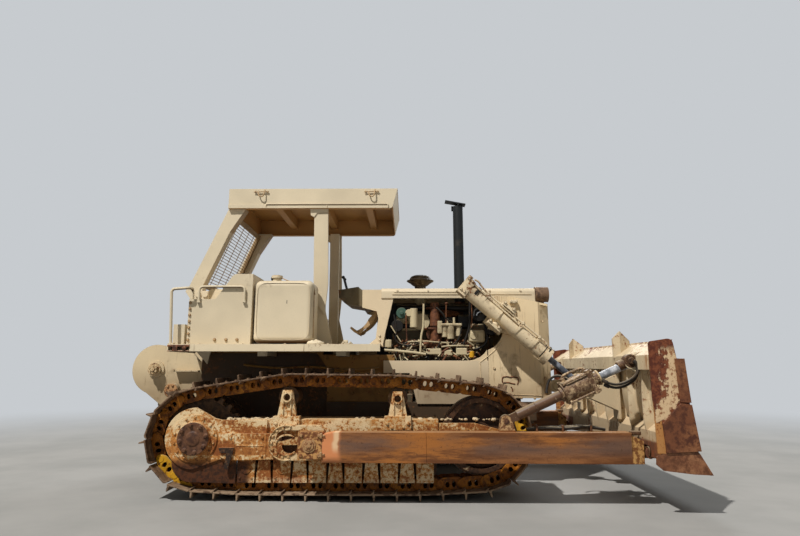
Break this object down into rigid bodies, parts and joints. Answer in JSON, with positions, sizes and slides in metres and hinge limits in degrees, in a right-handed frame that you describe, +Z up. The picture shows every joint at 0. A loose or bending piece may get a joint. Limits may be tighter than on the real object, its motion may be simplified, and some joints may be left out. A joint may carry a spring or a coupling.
{
  "type": "crawler bulldozer",
  "caption": "Crawler bulldozer with a straight blade on push arms, lift cylinders, an open engine bay, a roll-over canopy and a rear winch.",
  "frame": {"origin": "on the ground under the middle of the whole machine, blade and winch included", "axes": "+X forward towards the blade, +Y to the left, +Z up"},
  "size_m": [5.568, 3.658, 3.188],
  "materials": {
    "paint": "worn sand-coloured paint",
    "dark_paint": "dull dark paint",
    "track_steel": "rusty, dusty track steel",
    "worn_steel": "worn and rusty steel",
    "engine_iron": "oily engine iron",
    "aluminium": "dusty radiator fins",
    "chrome": "hard-chromed rods",
    "rubber": "black hose rubber",
    "seat_vinyl": "black seat vinyl"
  },
  "bodies": {
    "chassis": {"air_cleaner": "engine_iron", "battery_box": "paint", "canopy_posts": "paint", "canopy_roof": "paint", "carrier_rollers": "worn_steel", "control_levers": "dark_paint", "cooling_fan": "dark_paint", "cowl": "paint", "deck": "paint", "drawbar": "dark_paint", "engine_auxiliaries": "engine_iron", "engine_block": "engine_iron", "equalizer_bar": "dark_paint", "exhaust_crossover": "engine_iron", "exhaust_manifold": "engine_iron", "exhaust_stack": "dark_paint", "foot_pedals": "dark_paint", "fuel_tank": "paint", "grille": "dark_paint", "handrails": "paint", "headlamps": "dark_paint", "hood": "paint", "hydraulic_tank": "paint", "idlers": "worn_steel", "instrument_panel": "paint", "lift_yokes": "paint", "main_frame": "dark_paint", "precleaner": "dark_paint", "radiator_core": "aluminium", "radiator_guard": "paint", "rear_screen": "paint", "seat_back": "seat_vinyl", "seat_base": "dark_paint", "seat_cushion": "seat_vinyl", "side_boxes": "paint", "side_panels": "paint", "sprockets": "worn_steel", "track_frames": "paint", "track_rollers": "worn_steel", "tracks": "track_steel", "winch_case": "paint", "winch_housing": "paint"},
    "dozer": {"push_arms": "paint", "wear_plates": "worn_steel", "blade": "paint", "cutting_edge": "worn_steel", "end_bits": "worn_steel", "tilt_cylinder": "paint", "tilt_rod": "chrome", "brace_left": "paint", "linkage_pins": "worn_steel", "tilt_hoses": "rubber"},
    "barrel_right": {"lift_barrel_right": "paint"},
    "barrel_left": {"lift_barrel_left": "paint"},
    "rod_right": {"lift_rod_right": "chrome"},
    "rod_left": {"lift_rod_left": "chrome"},
    "drum": {"winch_drum": "worn_steel"}
  },
  "joints": [
    {"name": "blade_lift", "type": "hinge", "parent": "chassis", "child": "dozer", "pos_m": [-0.675, 0, 0.52], "axis": [0, -1, 0], "range_deg": [-13, 10]},
    {"name": "lift_barrel_swing_right", "type": "hinge", "parent": "chassis", "child": "barrel_right", "pos_m": [1.218, -0.7, 1.728], "axis": [0, -1, 0], "range_deg": [-20, 15.5]},
    {"name": "lift_rod_slide_right", "type": "slide", "parent": "barrel_right", "child": "rod_right", "axis": [0.7547, 0, -0.6561], "range_m": [-0.385, 0.495]},
    {"name": "lift_barrel_swing_left", "type": "hinge", "parent": "chassis", "child": "barrel_left", "pos_m": [1.218, 0.7, 1.728], "axis": [0, -1, 0], "range_deg": [-20, 15.5]},
    {"name": "lift_rod_slide_left", "type": "slide", "parent": "barrel_left", "child": "rod_left", "axis": [0.7547, 0, -0.6561], "range_m": [-0.385, 0.495]},
    {"name": "winch_drum_spin", "type": "hinge", "parent": "chassis", "child": "drum", "pos_m": [-2.518, 0, 1.189], "axis": [0, 1, 0], "continuous": true}
  ],
  "couplings": [
    {"joint": "lift_barrel_swing_right", "follows": "blade_lift", "ratio": 1.491},
    {"joint": "lift_rod_slide_right", "follows": "blade_lift", "m_per_rad": -2.159},
    {"joint": "lift_barrel_swing_left", "follows": "blade_lift", "ratio": 1.491},
    {"joint": "lift_rod_slide_left", "follows": "blade_lift", "m_per_rad": -2.159}
  ]
}
